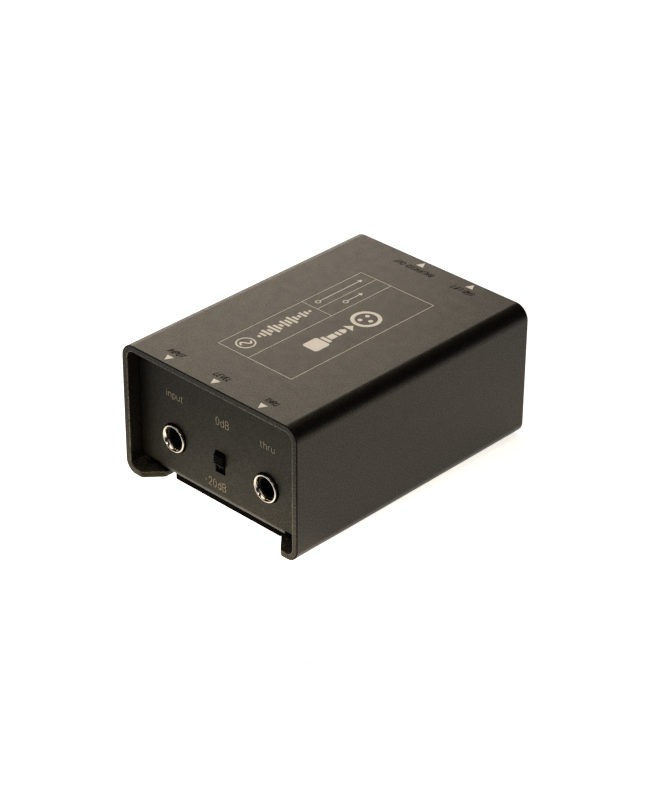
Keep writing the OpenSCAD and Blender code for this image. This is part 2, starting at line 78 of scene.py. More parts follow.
SHELL_LOW, SHELL_HIGH = box_mm("outer_shell")
TOP_Z = SHELL_HIGH.z
FRONT_Y = box_mm("chassis")[0].y

# The folded sheet: its thickness, outer bend radii at the roof and at the lips, and the gap between the lips
SHEET = 2.3
TOP_BEND = 5.3
LOW_BEND = 4.6
LIP_GAP = 54.2
# The slanted cut at each end of a lip, across and along the case
LIP_CUT_W = 5.4
LIP_CUT_L = 5.9

# Height of the print over its face, and how far strokes that cross lie under each other
PRINT_RISE = 0.03
LAYER = 0.002

# Half the floor's side, and how far it lies under the pad
FLOOR_HALF = 3000
FLOOR_DROP = 0.05

# Angles in degrees
CAMERA_AZIMUTH = 43.886
CAMERA_ELEVATION = 31.046
CAMERA_ROLL = 0.3007
CAMERA_LENS = 114.65
CAMERA_DISTANCE = 856.6
CAMERA_AIM = Vector((-7.102, 6.347, 16.178))


# ---------- materials ----------

# Parts of the 0 to 1 range that broad and fine noise mostly keep to
BROAD = (0.3, 0.7)
FINE = (0.35, 0.65)


def object_noise(nodes, links, size, detail=2.0, stretch=(1, 1, 1)):
    """Noise in object space whose features are about size millimetres across."""
    place = nodes.new("ShaderNodeTexCoord")
    scale = nodes.new("ShaderNodeMapping")
    scale.inputs["Scale"].default_value = [s / (size * MM) for s in stretch]
    noise = nodes.new("ShaderNodeTexNoise")
    noise.inputs["Scale"].default_value = 1.0
    noise.inputs["Detail"].default_value = detail
    links.new(place.outputs["Object"], scale.inputs["Vector"])
    links.new(scale.outputs["Vector"], noise.inputs["Vector"])
    return noise.outputs["Fac"]


def remap(nodes, links, value, low, high, to_low, to_high):
    """Moves a value from one range to another and keeps it within that."""
    node = nodes.new("ShaderNodeMapRange")
    node.inputs["From Min"].default_value = low
    node.inputs["From Max"].default_value = high
    node.inputs["To Min"].default_value = to_low
    node.inputs["To Max"].default_value = to_high
    links.new(value, node.inputs["Value"])
    return node.outputs["Result"]


def mix_color(nodes, links, factor, a, b):
    """Mix of two colours, either of which may be a tuple or another node's output."""
    node = nodes.new("ShaderNodeMix")
    node.data_type = "RGBA"
    links.new(factor, node.inputs[0])
    for socket, value in ((node.inputs[6], a), (node.inputs[7], b)):
        if isinstance(value, tuple):
            socket.default_value = (*value, 1.0)
        else:
            links.new(value, socket)
    return node.outputs[2]


def shade(color, factor):
    """A colour made lighter or darker by a factor."""
    return tuple(min(1.0, c * factor) for c in color)


def edge_mask(nodes, links, radius, size, sparse):
    """Patchy mask within a radius in millimetres of sharp edges, in few specks or in many."""
    rounded = nodes.new("ShaderNodeBevel")
    rounded.samples = 4
    rounded.inputs["Radius"].default_value = radius * MM
    place = nodes.new("ShaderNodeNewGeometry")
    along = nodes.new("ShaderNodeVectorMath")
    along.operation = "DOT_PRODUCT"
    links.new(rounded.outputs["Normal"], along.inputs[0])
    links.new(place.outputs["Normal"], along.inputs[1])
    # How far the true and the rounded normal agree, at an edge and on a flat
    edge, flat = 0.75, 0.97
    near = remap(nodes, links, along.outputs["Value"], edge, flat, 1.0, 0.0)
    # Range of the noise in which the mask rises: the higher, the fewer the specks
    low, high = (0.61, 0.67) if sparse else (0.42, 0.6)
    patches = remap(nodes, links, object_noise(nodes, links, size, 3.0), low, high, 0.0, 1.0)
    both = nodes.new("ShaderNodeMath")
    both.operation = "MULTIPLY"
    links.new(near, both.inputs[0])
    links.new(patches, both.inputs[1])
    return both.outputs["Value"]


def surface(name, color, rough, metal=0.0, specular=0.5, tint=(1, 1, 1), coat=0.0, blotch=0.1,
            blotch_size=9.0, grain=0.15, grain_size=0.25, rough_spread=0.06, bump=0.02, bump_size=0.3,
            stretch=(1, 1, 1), worn=None, wear=1.6, wear_radius=0.25, sparse=False, fleck=0.1):
    """Base of every finish: broad variation, fine grain, worn edges, flecked shine and a fine bump.

    Sizes and heights are in millimetres. blotch, grain and fleck are shares by which colour and shine vary.
    """
    mat = bpy.data.materials.new(name)
    mat.use_nodes = True
    nodes, links = mat.node_tree.nodes, mat.node_tree.links
    shader = nodes["Principled BSDF"]
    shader.inputs["Metallic"].default_value = metal
    shader.inputs["Specular Tint"].default_value = (*tint, 1.0)
    shader.inputs["Coat Weight"].default_value = coat
    broad = remap(nodes, links, object_noise(nodes, links, blotch_size), *BROAD, 0.0, 1.0)
    fine = remap(nodes, links, object_noise(nodes, links, grain_size, 3.0, stretch), *FINE, 0.0, 1.0)
    links.new(remap(nodes, links, fine, 0.0, 1.0, specular * (1 - fleck), specular * (1 + fleck)),
              shader.inputs["Specular IOR Level"])
    base = mix_color(nodes, links, broad, shade(color, 1 - blotch), shade(color, 1 + blotch))
    speck = mix_color(nodes, links, fine, shade(color, 1 - grain), shade(color, 1 + grain))
    half = nodes.new("ShaderNodeMix")
    half.data_type = "RGBA"
    half.inputs[0].default_value = 0.5
    links.new(base, half.inputs[6])
    links.new(speck, half.inputs[7])
    patch_size = 0.8
    edges = edge_mask(nodes, links, wear_radius, patch_size, sparse)
    links.new(mix_color(nodes, links, edges, half.outputs[2], worn or shade(color, wear)),
              shader.inputs["Base Color"])
    uneven = object_noise(nodes, links, blotch_size * 0.4, 3.0)
    links.new(remap(nodes, links, uneven, *BROAD, rough - rough_spread, rough + rough_spread),
              shader.inputs["Roughness"])
    relief = nodes.new("ShaderNodeBump")
    relief.inputs["Strength"].default_value = 1.0
    relief.inputs["Distance"].default_value = bump * MM
    links.new(object_noise(nodes, links, bump_size, 3.0, stretch), relief.inputs["Height"])
    links.new(relief.outputs["Normal"], shader.inputs["Normal"])
    return mat


def bounce_light_and_dust(material):
    """Paints a film of bounce light, lighter than the coat, with a few pale dust flecks in it."""
    nodes, links = material.node_tree.nodes, material.node_tree.links
    shader = nodes["Principled BSDF"]
    under = shader.inputs["Base Color"].links[0].from_socket
    # The film's lighter colour is painted bounce light; the pale flecks are dust
    bounce_film_size, fleck_size = 3.0, 0.45
    bounce_film_color, fleck_color = (0.035, 0.032, 0.024), (0.5, 0.46, 0.37)
    bounce_film = remap(nodes, links, object_noise(nodes, links, bounce_film_size, 3.0), *FINE, 0.25, 1.0)
    flecks = remap(nodes, links, object_noise(nodes, links, fleck_size, 2.0), 0.66, 0.7, 0.0, 1.0)
    bounce_lit = mix_color(nodes, links, bounce_film, under, bounce_film_color)
    links.new(mix_color(nodes, links, flecks, bounce_lit, fleck_color), shader.inputs["Base Color"])


def make_materials():
    """Every finish by name, made from its colour, roughness and what sets it apart."""
    coat = (0.0022, 0.002, 0.0016)
    coat_tint = (1.0, 0.85, 0.6)
    edge_tint = (1.0, 0.87, 0.52)
    panel_tint = (1.0, 0.88, 0.54)
    bare_coat = (0.06, 0.053, 0.042)
    finishes = {
        # The coated sheet metal
        "shell_coat": dict(color=coat, rough=0.37, specular=0.26, tint=coat_tint, blotch=0.08, grain=0.5,
                           grain_size=0.5, rough_spread=0.03, bump=0.03, bump_size=0.6, fleck=0.35,
                           worn=bare_coat, sparse=True),
        "shell_edge": dict(color=coat, rough=0.28, specular=0.21, tint=edge_tint, blotch=0.3, blotch_size=2.0,
                           grain=0.9, grain_size=0.5, bump=0.08, bump_size=0.6, fleck=0.6,
                           worn=(0.12, 0.105, 0.085), wear_radius=0.35, sparse=True),
        # Outer rounded end edge: its shine mostly taken away, which paints a dark line there (painted shade),
        # with sparse pale wear specks
        "shell_rim_shade_and_wear": dict(color=coat, rough=0.4, specular=0.05, tint=coat_tint, grain=0.9, grain_size=0.5,
                          bump=0.04, bump_size=0.6, worn=(0.3, 0.27, 0.21), wear_radius=0.4, sparse=True),
        # Inner rounded end edge: lighter and shinier than the coat, a painted highlight, with pale wear
        # specks
        "shell_inner_edge_highlight_and_wear": dict(color=(0.045, 0.038, 0.027), rough=0.35, specular=0.5, tint=coat_tint, grain=0.9,
                           grain_size=0.8, bump=0.04, bump_size=0.6, worn=(0.12, 0.1, 0.075), fleck=0.7),
        # Upper side of the lips: painted lighter as by bounce light, with dust flecks
        "shell_dust_and_bounce_light": dict(color=coat, rough=0.45, specular=0.3, tint=coat_tint, blotch=0.2, grain=0.6,
                            grain_size=0.5, bump=0.04, bump_size=0.6, fleck=0.4),
        "chassis_coat": dict(color=coat, rough=0.48, specular=0.16, tint=panel_tint, blotch=0.08, grain=0.5,
                             grain_size=0.5, rough_spread=0.03, bump=0.03, bump_size=0.6, fleck=0.35,
                             worn=bare_coat, sparse=True),
        # Rubber and plastic
        "pad_rubber": dict(color=(0.0012, 0.0012, 0.0011), rough=0.85, specular=0.02, blotch=0.2, grain=0.3,
                           grain_size=0.5, bump=0.05, bump_size=0.6),
        "black_plastic": dict(color=(0.003, 0.003, 0.003), rough=0.5, specular=0.1, blotch=0.15, grain=0.2,
                              bump=0.008, bump_size=0.3),
        "knob_plastic": dict(color=(0.0015, 0.0015, 0.0013), rough=0.65, specular=0.03, blotch=0.15,
                             grain=0.2, bump=0.006, bump_size=0.25, wear=2.2, wear_radius=0.12),
        # Bare and plated metal
        "black_screw": dict(color=(0.03, 0.03, 0.03), rough=0.35, metal=0.7, bump=0.004, bump_size=0.2,
                            worn=(0.2, 0.19, 0.18)),
        "zinc_steel": dict(color=(0.62, 0.62, 0.6), rough=0.32, metal=1.0, bump=0.003, bump_size=0.2),
        "nickel_brass": dict(color=(0.7, 0.66, 0.56), rough=0.25, metal=1.0, bump=0.002, bump_size=0.3),
        "chrome_nose": dict(color=(0.5, 0.46, 0.4), rough=0.12, metal=1.0, blotch=0.03, grain=0.03,
                            rough_spread=0.04, bump=0.0005, bump_size=0.8, wear=1.05),
        "contact_metal": dict(color=(0.78, 0.6, 0.3), rough=0.25, metal=1.0, bump=0.002, bump_size=0.3),
        "tinned_lead": dict(color=(0.72, 0.71, 0.68), rough=0.28, metal=1.0, bump=0.002, bump_size=0.3),
        # The board and what it carries
        "board_laminate": dict(color=(0.02, 0.13, 0.05), rough=0.3, coat=0.3, blotch=0.15, grain=0.2,
                               bump=0.01, bump_size=0.5),
        "phenolic": dict(color=(0.25, 0.13, 0.06), rough=0.55, blotch=0.15, grain=0.3, stretch=(1, 1, 4),
                         bump=0.01),
        "core_steel": dict(color=(0.28, 0.28, 0.29), rough=0.45, metal=0.9, grain=0.6, grain_size=3.0,
                           stretch=(0.1, 0.1, 9.0), bump=0.06, bump_size=3.0),
        "bobbin_plastic": dict(color=(0.72, 0.66, 0.54), rough=0.4, blotch=0.06, grain=0.08),
        "copper_wire": dict(color=(0.55, 0.2, 0.06), rough=0.3, metal=0.8, grain=0.4, grain_size=3.0,
                            stretch=(10, 0.2, 0.2), bump=0.08, bump_size=3.0),
        "component_body": dict(color=(0.2, 0.36, 0.42), rough=0.3, coat=0.2, blotch=0.06),
        "capacitor_body": dict(color=(0.42, 0.05, 0.03), rough=0.3, coat=0.3, blotch=0.08),
        # Print, and the floor
        "legend_ink": dict(color=(0.8, 0.76, 0.68), rough=0.6, specular=0.2, blotch=0.05, grain=0.12,
                           grain_size=0.3, bump=0.004, bump_size=0.3, wear=0.85, wear_radius=0.05),
        "dark_ink": dict(color=(0.004, 0.0035, 0.003), rough=0.7, specular=0.05, blotch=0.1, grain=0.3,
                         grain_size=0.3, bump=0.004, bump_size=0.3, worn=(0.3, 0.26, 0.19), wear_radius=0.05),
        "panel_ink": dict(color=(0.3, 0.24, 0.15), rough=0.6, specular=0.2, blotch=0.05, grain=0.2,
                          grain_size=0.3, bump=0.004, bump_size=0.3, wear=0.8, wear_radius=0.05),
        "floor": dict(color=(0.9, 0.9, 0.9), rough=0.6, specular=0.1, blotch=0.005, blotch_size=300,
                      grain=0.005, grain_size=2.0, bump=0.01, bump_size=2.0, wear=1.0),
    }
    materials = {name: surface(name, **finish) for name, finish in finishes.items()}
    # Paints the lips' upper side lighter, as by bounce light, and adds dust flecks
    bounce_light_and_dust(materials["shell_dust_and_bounce_light"])
    return materials


MATERIALS = make_materials()


# ---------- making pieces ----------

def add_piece(name, mesh, body, materials, replaces=()):
    """Puts a mesh in the scene as a piece on a body, standing for the CAD nodes that it replaces."""
    piece = bpy.data.objects.new(name, mesh)
    bpy.context.scene.collection.objects.link(piece)
    for material in materials:
        mesh.materials.append(MATERIALS[material])
    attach(piece, body)
    if replaces:
        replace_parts(piece, *replaces)
    return piece


def finish_mesh(bm, name, sharp_degrees=35):
    """Turns a bmesh into a smooth-shaded mesh whose edges past an angle stay crisp."""
    bmesh.ops.recalc_face_normals(bm, faces=bm.faces)
    mesh = bpy.data.meshes.new(name)
    bm.to_mesh(mesh)
    bm.free()
    mesh.shade_smooth()
    mesh.set_sharp_from_angle(angle=math.radians(sharp_degrees))
    return mesh


def soften_normals(piece):
    """Keeps flat faces flat where they meet a small rounded edge."""
    weighted = piece.modifiers.new("weighted", "WEIGHTED_NORMAL")
    weighted.keep_sharp = True
    weighted.weight = 100


def bevel_sharp(bm, width, segments=2, degrees=35, material=-1):
    """Rounds every edge that turns by more than an angle."""
    limit = math.radians(degrees)
    sharp = [e for e in bm.edges if len(e.link_faces) == 2 and e.calc_face_angle(0) > limit]
    bmesh.ops.bevel(bm, geom=sharp, offset=width * MM, offset_type="OFFSET", segments=segments,
                    profile=0.5, affect="EDGES", clamp_overlap=True, material=material)


def refined(node, width):
    """Copy of a CAD node with its edges rounded, which stands for the node."""
    merge_distance = 0.002 * MM
    flat_angle = math.radians(0.5)
    bm = bmesh.new()
    bm.from_mesh(frame["nodes"][node].data)
    bmesh.ops.remove_doubles(bm, verts=bm.verts, dist=merge_distance)
    bmesh.ops.dissolve_limit(bm, angle_limit=flat_angle, verts=bm.verts, edges=bm.edges)
    bevel_sharp(bm, width)
    for face in bm.faces:
        face.material_index = 0
    slot = SLOT_OF[node]
    mesh = finish_mesh(bm, node + "_finish")
    piece = add_piece(node + "_finish", mesh, BODY_OF[node], [slot], [node])
    soften_normals(piece)


def lathe(profile, steps=96):
    """Solid turned round +Y from a closed profile of (radius, y) points, in millimetres."""
    merge_distance = 0.0001 * MM
    bm = bmesh.new()
    rings = []
    for k in range(steps):
        a = 2 * math.pi * k / steps
        rings.append([bm.verts.new((r * math.cos(a) * MM, y * MM, r * math.sin(a) * MM)) for r, y in profile])
    count = len(profile)
    for k in range(steps):
        near, far = rings[k], rings[(k + 1) % steps]
        for i in range(count):
            j = (i + 1) % count
            bm.faces.new((near[i], near[j], far[j], far[i]))
    bmesh.ops.remove_doubles(bm, verts=bm.verts, dist=merge_distance)
    return bm


def oval(cx, cy, rx, ry, start, end, steps=14):
    """Points along part of an oval, from one angle to another, in degrees."""
    angles = [math.radians(start + (end - start) * k / steps) for k in range(steps + 1)]
    return [(cx + rx * math.cos(a), cy + ry * math.sin(a)) for a in angles]


def arc(cx, cy, r, start, end, steps):
    """Points along an arc, in degrees."""
    return oval(cx, cy, r, r, start, end, steps)


# ---------- the folded shell ----------

# Shell finishes: coat, cut end faces, outer rim with a painted dark line, inner edge with a painted
# highlight, and lips' upper side painted lighter as by bounce light
SHELL_FINISHES = ("shell_coat", "shell_edge", "shell_rim_shade_and_wear", "shell_inner_edge_highlight_and_wear", "shell_dust_and_bounce_light")
COAT, EDGE, RIM_SHADE_AND_WEAR, INNER_EDGE_HIGHLIGHT_AND_WEAR, DUST_AND_BOUNCE_LIGHT = range(len(SHELL_FINISHES))


def shell_section():
    """Right half of the shell's section: matching outer and inner points, from lip edge to roof centre."""
    half_w = SHELL_HIGH.x
    low, top = SHELL_LOW.z, SHELL_HIGH.z
    inner_x = LIP_GAP / 2
    outer, inner = [], []
    lip_steps, low_steps, top_steps = 12, 12, 14
    flat_end = half_w - LOW_BEND
    for k in range(lip_steps):
        x = inner_x + (flat_end - inner_x) * k / lip_steps
        outer.append((x, low))
        inner.append((x, low + SHEET))
    outer += arc(flat_end, low + LOW_BEND, LOW_BEND, -90, 0, low_steps)
    inner += arc(flat_end, low + LOW_BEND, LOW_BEND - SHEET, -90, 0, low_steps)
    outer += arc(half_w - TOP_BEND, top - TOP_BEND, TOP_BEND, 0, 90, top_steps)
    inner += arc(half_w - TOP_BEND, top - TOP_BEND, TOP_BEND - SHEET, 0, 90, top_steps)
    outer.append((0, top))
    inner.append((0, top - SHEET))
    return outer, inner


def shell_end(x, z):
    """Half length of the shell at a point of its section: shorter along the slanted end of a lip."""
    half_l = SHELL_HIGH.y
    slack = 0.01
    if z > SHELL_LOW.z + SHEET + slack:
        return half_l
    slant = half_l - LIP_CUT_L + (abs(x) - LIP_GAP / 2) * LIP_CUT_L / LIP_CUT_W
    # The corner between the slanted and the straight end is rounded within this distance
    blend = 0.8
    gap = max(0.0, blend - abs(slant - half_l)) / blend
    return min(slant, half_l) - gap * gap * blend / 4


def make_shell():
    """The folded sheet, with rounded edges, its own finish on them, and seats for the case screws."""
    outer, inner = shell_section()
    mirrored = [(-x, z) for x, z in reversed(outer[:-1])]
    outer_full = outer + mirrored
    inner_full = inner + [(-x, z) for x, z in reversed(inner[:-1])]
    bm = bmesh.new()
    loops = []
    for side in (-1, 1):
        for points in (outer_full, inner_full):
            ring = []
            for (x, z), (ox, oz) in zip(points, outer_full):
                ring.append(bm.verts.new((x * MM, side * shell_end(ox, oz) * MM, z * MM)))
            loops.append(ring)
    front_out, front_in, rear_out, rear_in = loops
    count = len(front_out)
    for i in range(count - 1):
        bm.faces.new((front_out[i], front_out[i + 1], rear_out[i + 1], rear_out[i]))
        bm.faces.new((front_in[i + 1], front_in[i], rear_in[i], rear_in[i + 1]))
        for ring_out, ring_in in ((front_out, front_in), (rear_out, rear_in)):
            cap = bm.faces.new((ring_out[i], ring_in[i], ring_in[i + 1], ring_out[i + 1]))
            cap.material_index = EDGE
    for end in (0, count - 1):
        edge = bm.faces.new((front_out[end], rear_out[end], rear_in[end], front_in[end]))
        edge.material_index = EDGE
    bmesh.ops.recalc_face_normals(bm, faces=bm.faces)
    bevel_sharp(bm, 0.3, segments=3, degrees=50, material=EDGE)
    finish_shell_faces(bm)
    mesh = finish_mesh(bm, "shell_finish", sharp_degrees=40)
    shell = add_piece("shell_finish", mesh, "box", SHELL_FINISHES, ["outer_shell"])
    cut_screw_seats(shell)
    soften_normals(shell)


def finish_shell_faces(bm):
    """Marks the end edges, with a painted dark line outside and a painted highlight inside, and the upper
    side of the lips, painted lighter as by bounce light and dusty.
    """
    # Parts of a normal in a direction: hardly any, clearly some, and nearly all
    hardly, some, nearly = 0.1, 0.3, 0.985
    # Height over the lips' sheet up to which their upper side gets the painted bounce light and dust
    lit_dust_height = 1.6
    mid_z = (SHELL_LOW.z + SHELL_HIGH.z) / 2 * MM
    lit_dust_top = (SHELL_LOW.z + SHEET + lit_dust_height) * MM
    bm.normal_update()
    for face in bm.faces:
        normal, centre = face.normal, face.calc_center_median()
        outward = normal.x * centre.x + normal.z * (centre.z - mid_z) > 0
        rounded = hardly < abs(normal.y) < nearly
        slanted_end = centre.z < (SHELL_LOW.z + SHEET) * MM and abs(normal.z) < hardly
        # Rounded end edges: a painted dark line outside, a painted highlight inside, both with wear specks
        if face.material_index == EDGE and rounded and not slanted_end:
            face.material_index = RIM_SHADE_AND_WEAR if outward else INNER_EDGE_HIGHLIGHT_AND_WEAR
        # Upper side of the lips: painted lighter as by bounce light, with dust flecks
        elif face.material_index == COAT and normal.z > some and centre.z < lit_dust_top:
            face.material_index = DUST_AND_BOUNCE_LIGHT


def cut_screw_seats(shell):
    """Countersunk holes for the case screws."""
    corner = box_mm("case_screws")[1]
    screw_r = 2.75
    seat_r = 2.85
    flare = 0.3
    hole_r = 1.6
    seat_h = 1.5
    x, y = corner.x - screw_r, corner.y - screw_r
    z = SHELL_LOW.z
    # The cutter starts below the lip and ends above it
    below, above = z - 1, z + 4
    profile = [(0, below), (seat_r + flare, below), (seat_r, z), (hole_r, z + seat_h), (hole_r, above),
               (0, above)]
    upright = Matrix.Rotation(math.pi / 2, 4, "X")
    cutters = bmesh.new()
    for sx in (-1, 1):
        for sy in (-1, 1):
            turned = lathe(profile, 48)
            turned.transform(Matrix.Translation((sx * x * MM, sy * y * MM, 0)) @ upright)
            scratch = bpy.data.meshes.new("seat")
            turned.to_mesh(scratch)
            turned.free()
            cutters.from_mesh(scratch)
            bpy.data.meshes.remove(scratch)
    bmesh.ops.recalc_face_normals(cutters, faces=cutters.faces)
    scratch = bpy.data.meshes.new("seats")
    cutters.to_mesh(scratch)
    cutters.free()
    tool = bpy.data.objects.new("seats", scratch)
    bpy.context.scene.collection.objects.link(tool)
    cut = shell.modifiers.new("seats", "BOOLEAN")
    cut.operation = "DIFFERENCE"
    cut.solver = "EXACT"
    cut.object = tool
    apply_modifiers(shell)
    bpy.data.objects.remove(tool)


def apply_modifiers(piece):
    """Bakes a piece's modifiers into its mesh."""
    evaluated = piece.evaluated_get(bpy.context.evaluated_depsgraph_get())
    mesh = bpy.data.meshes.new_from_object(evaluated)
    piece.modifiers.clear()
    piece.data = mesh


# ---------- jacks ----------

def make_ferrule(node):
    """Chrome nose with a rolled rim and a conical mouth."""
    low, high = box_mm(node)
    cx, cz = (low.x + high.x) / 2, (low.z + high.z) / 2
    outer_r = (high.x - low.x) / 2
    bore_r = 3.8
    front, back = low.y, high.y
    rim_r = 0.3
    rim_steps = 12
    # The rim rolls over and runs on into a cone of this half angle, in degrees
    mouth = 30
    rim = arc(outer_r - rim_r, front + rim_r, rim_r, 0, mouth - 180, rim_steps)
    rim_end, rim_y = rim[-1]
    profile = [(outer_r, back)] + rim
    profile.append((bore_r, rim_y + (rim_end - bore_r) / math.tan(math.radians(mouth))))
    profile.append((bore_r, back))
    bm = lathe(profile)
    bmesh.ops.translate(bm, verts=bm.verts, vec=Vector((cx, 0, cz)) * MM)
    add_piece(node + "_finish", finish_mesh(bm, node), BODY_OF[node], ["chrome_nose"], [node])


# ---------- print ----------

def flat_ribbon(points, width, z, closed, place):
    """Thin raised strip of ink along a line of (x, y) points, with mitred corners."""
    # The sharpest corners are cut short, where a mitre would reach out too far
    sharpest = 0.3
    bm = bmesh.new()
    count = len(points)
    left, right = [], []
    for i, point in enumerate(points):
        p = Vector(point)
        before = Vector(points[i - 1]) if i > 0 or closed else None
        after = Vector(points[(i + 1) % count]) if i < count - 1 or closed else None
        d1 = (p - before).normalized() if before is not None else (after - p).normalized()
        d2 = (after - p).normalized() if after is not None else d1
        n1, n2 = Vector((-d1.y, d1.x)), Vector((-d2.y, d2.x))
        side = (n1 + n2).normalized()
        reach = width / 2 / max(sharpest, side.dot(n1))
        left.append(p + side * reach)
        right.append(p - side * reach)
    top = [[bm.verts.new((v.x, v.y, z)) for v in row] for row in (left, right)]
    low = [[bm.verts.new((v.x, v.y, z - PRINT_RISE)) for v in row] for row in (left, right)]
    spans = range(count) if closed else range(count - 1)
    for i in spans:
        j = (i + 1) % count
        bm.faces.new((top[0][i], top[0][j], top[1][j], top[1][i]))
        bm.faces.new((low[0][i], low[1][i], low[1][j], low[0][j]))
        bm.faces.new((top[0][i], low[0][i], low[0][j], top[0][j]))
        bm.faces.new((top[1][i], top[1][j], low[1][j], low[1][i]))
    if not closed:
        for i in (0, count - 1):
            bm.faces.new((top[0][i], top[1][i], low[1][i], low[0][i]))
    bm.transform(place)
    return bm


def flat_shape(points, z, place):
    """Raised filled polygon of ink."""
    bm = bmesh.new()
    top = [bm.verts.new((x, y, z)) for x, y in points]
    low = [bm.verts.new((x, y, z - PRINT_RISE)) for x, y in points]
    bm.faces.new(top)
    bm.faces.new(low[::-1])
    for i in range(len(points)):
        j = (i + 1) % len(points)
        bm.faces.new((top[i], low[i], low[j], top[j]))
    bm.transform(place)
    return bm


def join_print(name, parts, material):
    """Joins pieces of ink, made in millimetres, into one mesh."""
    whole = bmesh.new()
    for part in parts:
        scratch = bpy.data.meshes.new("ink")
        part.to_mesh(scratch)
        part.free()
        whole.from_mesh(scratch)
        bpy.data.meshes.remove(scratch)
    whole.transform(Matrix.Scale(MM, 4))
    bmesh.ops.recalc_face_normals(whole, faces=whole.faces)
    mesh = bpy.data.meshes.new(name)
    whole.to_mesh(mesh)
    whole.free()
    return add_piece(name, mesh, "box", [material])


# Where ink lies on a face: each takes the face's own x and y to the frame's x, y and z, in millimetres
ON_TOP = Matrix.Translation((0, 0, TOP_Z + PRINT_RISE))
ON_TOP_REAR = ON_TOP @ Matrix.Rotation(math.pi, 4, "Z")
ON_TOP_ALONG = ON_TOP @ Matrix.Rotation(math.pi / 2, 4, "Z")
ON_FRONT = Matrix.Translation((0, FRONT_Y - PRINT_RISE, 0)) @ Matrix.Rotation(math.pi / 2, 4, "X")
ON_REAR = Matrix.Rotation(math.pi, 4, "Z") @ ON_FRONT


def circle_points(cx, cy, r, steps=48):
    """Points round a full circle, without repeating the first."""
    return arc(cx, cy, r, 0, 360, steps)[:-1]


def label_frame():
    """Ruled label on the lid: an outer frame, a long divider, a cell line and a short divider."""
    left, right, front, rear = -16.5, 16.7, -33.9, 33.6
    line = 0.2
    long_x, cell_y, row_x = -2.7, 4.8, -9.35
    lines = [flat_ribbon([(left, front), (right, front), (right, rear), (left, rear)], line, 0, True, ON_TOP)]
    for a, b in (((long_x, front), (long_x, rear)), ((left, cell_y), (long_x, cell_y)),
                 ((row_x, cell_y), (row_x, rear))):
        lines.append(flat_ribbon([a, b], line, -LAYER * len(lines), False, ON_TOP))
    join_print("label_frame", lines, "legend_ink")


def soft_box(x0, x1, y0, y1, r, steps=6):
    """Rectangle with rounded corners."""
    left, right, low, high = x0 + r, x1 - r, y0 + r, y1 - r
    points = []
    for cx, cy, start in ((right, high, 0), (left, high, 90), (left, low, 180), (right, low, 270)):
        points += arc(cx, cy, r, start, start + 90, steps)
    return points


def signal_symbol():
    """Bold signs across the label's main field: a jack plug, an arrow and a three-pin socket."""
    parts = []
    mid = -7.0
    place = ON_TOP_ALONG
    grip_h, collar_h, sleeve_h = 3.3, 2.2, 1.35
    # Each box of the plug: where it starts and ends, its half height and its corner radius
    for first, last, half_h, corner_r in ((-16.0, -9.2, grip_h, 1.1), (-8.6, -7.2, collar_h, 0.3),
                                          (-6.6, -3.6, sleeve_h, 0.2), (-3.0, -1.6, sleeve_h, 0.2)):
        parts.append(flat_shape(soft_box(first, last, mid - half_h, mid + half_h, corner_r), 0, place))
    tip = [(-1.0, mid - sleeve_h), (0.1, mid - sleeve_h), (1.3, mid - 0.4), (1.3, mid + 0.4),
           (0.1, mid + sleeve_h), (-1.0, mid + sleeve_h)]
    parts.append(flat_shape(tip, 0, place))
    arrow = [(2.3, mid - 2.3), (4.9, mid), (2.3, mid + 2.3)]
    parts.append(flat_shape(arrow, 0, place))
    stroke = 1.4
    socket_r = 5.3
    socket_x = 16.4 - socket_r
    pin_r = 0.85
    parts.append(flat_ribbon(circle_points(socket_x, mid, socket_r - stroke / 2), stroke, 0, True, place))
    for dx, dy in ((-1.8, 1.1), (1.8, 1.1), (0, -2.0)):
        parts.append(flat_shape(circle_points(socket_x + dx, mid + dy, pin_r, 20), 0, place))
    join_print("label_symbol", parts, "legend_ink")


def wave_symbol():
    """A small tone symbol and a row of level bars in the label's corner cell."""
    parts = []
    place = ON_TOP_ALONG
    mid = 10.1
    disc_x, disc_r = -27.7, 3.2
    parts.append(flat_ribbon(circle_points(disc_x, mid, disc_r, 40), 0.55, 0, True, place))
    wave_l, wave_h, steps = 4.2, 1.3, 24
    wave = [(disc_x - wave_l / 2 + wave_l * k / steps, mid + wave_h * math.sin(2 * math.pi * k / steps))
            for k in range(steps + 1)]
    parts.append(flat_ribbon(wave, 0.7, 0, False, place))
    heights = (0.25, 0.5, 0.8, 0.45, 1.0, 0.7, 0.35, 0.85, 0.6, 0.95, 0.5, 0.3, 0.65, 0.4, 0.2)
    first, last = -21.6, 2.0
    step = (last - first) / (len(heights) - 1)
    half_w, tallest = 0.5, 2.8
    for k, share in enumerate(heights):
        left, right = first + k * step - half_w, first + k * step + half_w
        low, high = mid - tallest * share, mid + tallest * share
        parts.append(flat_shape([(left, low), (right, low), (right, high), (left, high)], 0, place))
    join_print("label_wave", parts, "legend_ink")


def cell_marks():
    """Plain signal-path marks in the label's two narrow cells."""
    parts = []
    place = ON_TOP_ALONG
    stroke = 0.34
    head_l, head_h = 1.6, 0.9
    for mid, first, last in ((12.6, 8.5, 30.0), (6.1, 15.0, 23.4)):
        parts.append(flat_ribbon([(first + 1.0, mid), (last - 1.4, mid)], stroke, 0, False, place))
        parts.append(flat_ribbon(circle_points(first, mid, 0.85, 24), stroke, 0, True, place))
        head = [(last - head_l, mid - head_h), (last, mid), (last - head_l, mid + head_h)]
        parts.append(flat_shape(head, 0, place))
    join_print("label_marks", parts, "legend_ink")


def pointer(x, y, place):
    """Small filled triangle that points to an edge of the lid, towards -y of its plane."""
    half_w, length = 1.55, 2.9
    return flat_shape([(x - half_w, y), (x, y - length), (x + half_w, y)], 0, place)


def pointers():
    """One triangle for each control: three at the front edge and two at the rear."""
    parts = [pointer(x, -50.65, ON_TOP) for x in (-21.05, 0.35, 21.6)]
    parts += [pointer(x, -50.9, ON_TOP_REAR) for x in (5.4, -17.0)]
    join_print("lid_pointers", parts, "legend_ink")


